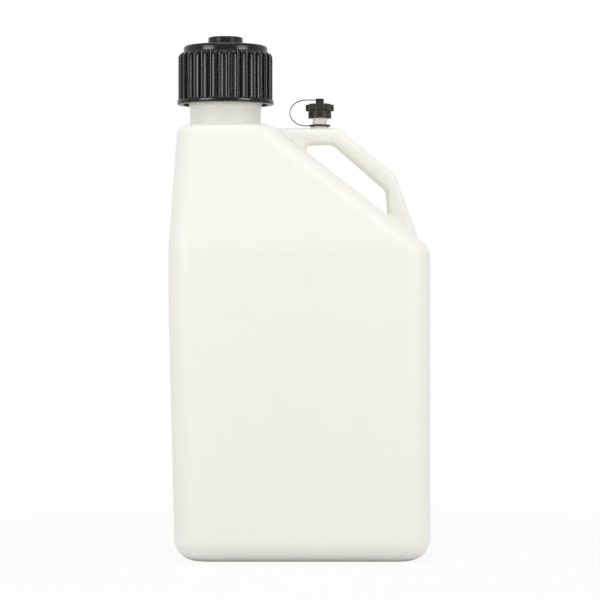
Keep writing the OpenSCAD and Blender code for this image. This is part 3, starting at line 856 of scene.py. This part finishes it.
ring_foot = vent_base + COLLAR_HEIGHT + TETHER_GAP
ring_middle = ring_foot + STRAP_THICKNESS / 2
eye_middle = stem_top + EYE_GAP + STRAP_THICKNESS / 2
eye_radius = STEM_RADIUS + EYE_GAP
loop_middle = (eye_middle + ring_middle) / 2
loop_angles = [math.pi * i / LOOP_STEPS for i in range(LOOP_STEPS + 1)]
strap_line = [
    Vector((STRAP_LAP - eye_radius, eye_middle)),
    *(Vector((-LOOP_START - (LOOP_REACH - LOOP_START) * math.sin(a),
        loop_middle + (eye_middle - loop_middle) * math.cos(a))) for a in loop_angles),
    Vector((STRAP_LAP - RING_RADIUS, ring_middle))]


def strap_form(line):
    """A flat band with round edges along a line in the XZ plane."""
    rings = []
    for i, point in enumerate(line):
        along = (line[min(i + 1, len(line) - 1)] - line[max(i - 1, 0)]).normalized()
        across = Vector((-along.y, along.x))
        section = rounded_box(-STRAP_WIDTH / 2, STRAP_WIDTH / 2, -STRAP_HALF_THICKNESS, STRAP_HALF_THICKNESS,
            STRAP_EDGE, 3)
        rings.append([(point.x + across.x * y, x, point.y + across.y * y) for x, y in section])
    return loft(rings)


def flat_ring(outer, inner, low, thickness):
    """A washer with rounded edges."""
    high = low + thickness
    return turned([
        *arc(outer - STRAP_EDGE, low + STRAP_EDGE, STRAP_EDGE, -90, 0, 3),
        *arc(outer - STRAP_EDGE, high - STRAP_EDGE, STRAP_EDGE, 0, 90, 3),
        *arc(inner + STRAP_EDGE, high - STRAP_EDGE, STRAP_EDGE, 90, 180, 3),
        *arc(inner + STRAP_EDGE, low + STRAP_EDGE, STRAP_EDGE, 180, 270, 3)], NARROW_STEPS)


tether = placed(strap_form(strap_line), "tether_strap", vent_axis)
combine(tether, placed(flat_ring(RING_RADIUS, VENT_RADIUS + TETHER_GAP, ring_foot, RING_THICKNESS), "ring",
    vent_axis), "UNION")
combine(tether, placed(flat_ring(eye_radius, STUD_RADIUS + TETHER_GAP, eye_middle - STRAP_THICKNESS / 2,
    STRAP_THICKNESS), "eye", vent_axis), "UNION")

# %% [markdown]
# ## Finishes
# Natural polyethylene is white because it scatters light inside the wall: light goes in, wanders a few
# millimetres and comes out soft. Its blown skin is satin, with a fine even tooth and very slow waves. A thin
# raised line runs round the middle plane, where the two halves of the mould met.

# %% Polyethylene
TOOTH_SIZE, TOOTH_DEPTH = 1.2 * MM, 0.05 * MM
WAVE_SIZE, WAVE_DEPTH = 60 * MM, 0.8 * MM
SCATTER_REACH = 4 * MM
PARTING_HALF_WIDTH = 0.7 * MM
PARTING_HEIGHT = 0.3 * MM

polyethylene, tree, output = new_material("blow_moulded_polyethylene")
place = add_node(tree, "ShaderNodeTexCoord").outputs["Object"]
tooth = add_node(tree, "ShaderNodeTexNoise", {"Vector": place, "Scale": 1 / TOOTH_SIZE, "Detail": 2.0})
waves = add_node(tree, "ShaderNodeTexNoise", {"Vector": place, "Scale": 1 / WAVE_SIZE, "Detail": 1.0})
tooth_bump = add_node(tree, "ShaderNodeBump", {"Height": tooth.outputs[0], "Strength": 0.12,
    "Distance": TOOTH_DEPTH})
wave_bump = add_node(tree, "ShaderNodeBump", {"Height": waves.outputs[0], "Strength": 0.2,
    "Distance": WAVE_DEPTH, "Normal": tooth_bump.outputs[0]})
side = add_node(tree, "ShaderNodeSeparateXYZ", {0: place})
off_plane = add_node(tree, "ShaderNodeMath", {0: side.outputs["Y"]}, operation="ABSOLUTE")
ridge = add_node(tree, "ShaderNodeMapRange", {"Value": off_plane.outputs[0], "From Min": 0.0,
    "From Max": PARTING_HALF_WIDTH, "To Min": 1.0, "To Max": 0.0}, interpolation_type="SMOOTHSTEP")
parting_bump = add_node(tree, "ShaderNodeBump", {"Height": ridge.outputs["Result"], "Strength": 1.0,
    "Distance": PARTING_HEIGHT, "Normal": wave_bump.outputs[0]})
tint = add_node(tree, "ShaderNodeValToRGB", {"Fac": waves.outputs[0]})
tint.color_ramp.elements[0].position, tint.color_ramp.elements[0].color = 0.3, colour("#f3f2e9")
tint.color_ramp.elements[1].position, tint.color_ramp.elements[1].color = 0.7, colour("#f4f3ea")
satin = add_node(tree, "ShaderNodeBsdfPrincipled", {"Base Color": tint.outputs[0], "Roughness": 0.42,
    "IOR": 1.54, "Subsurface Weight": 0.35, "Subsurface Radius": (1.0, 0.92, 0.78),
    "Subsurface Scale": SCATTER_REACH, "Normal": parting_bump.outputs[0]})
tree.links.new(satin.outputs[0], output.inputs["Surface"])


# %% Black plastics and foam
def moulded_plastic(name, hex_code, roughness, grain_size, grain_depth):
    """A moulded finish: even colour, a faint grain, and slightly uneven gloss."""
    material, tree, output = new_material(name)
    place = add_node(tree, "ShaderNodeTexCoord").outputs["Object"]
    grain = add_node(tree, "ShaderNodeTexNoise", {"Vector": place, "Scale": 1 / grain_size, "Detail": 3.0})
    gloss = add_node(tree, "ShaderNodeMapRange", {"Value": grain.outputs[0], "To Min": roughness * 0.85,
        "To Max": roughness * 1.15})
    bump = add_node(tree, "ShaderNodeBump", {"Height": grain.outputs[0], "Strength": 0.2,
        "Distance": grain_depth})
    shader = add_node(tree, "ShaderNodeBsdfPrincipled", {"Base Color": colour(hex_code),
        "Roughness": gloss.outputs[0], "IOR": 1.46, "Normal": bump.outputs[0]})
    tree.links.new(shader.outputs[0], output.inputs["Surface"])
    return material


black_polypropylene = moulded_plastic("glossy_black_polypropylene", "#0a0a08", 0.2, 8 * MM, 0.03 * MM)
satin_black = moulded_plastic("satin_black_polypropylene", "#211f1c", 0.42, 0.8 * MM, 0.04 * MM)
strap_black = moulded_plastic("soft_black_polyethylene", "#242424", 0.5, 0.8 * MM, 0.04 * MM)
seal_foam = moulded_plastic("grey_sealing_foam", "#8d8f90", 0.85, 0.6 * MM, 0.1 * MM)

# %% Put the pieces on their bodies
finish_piece(jug, polyethylene)
finish_piece(cap, black_polypropylene)
finish_piece(knob, satin_black)
finish_piece(tether, strap_black)
for node in ("cap_gasket", "vent_gasket"):
    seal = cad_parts[node]
    seal.data.materials.clear()
    seal.data.materials.append(seal_foam)

for piece, body, node, slot in (
        (jug, "jug", "jug_body", "natural_polyethylene"),
        (cap, "cap", "main_cap", "black_cap"),
        (knob, "vent_knob", "vent_cap", "black_knob")):
    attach(piece, body)
    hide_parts(node)
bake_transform(tether)
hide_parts("vent_tether")
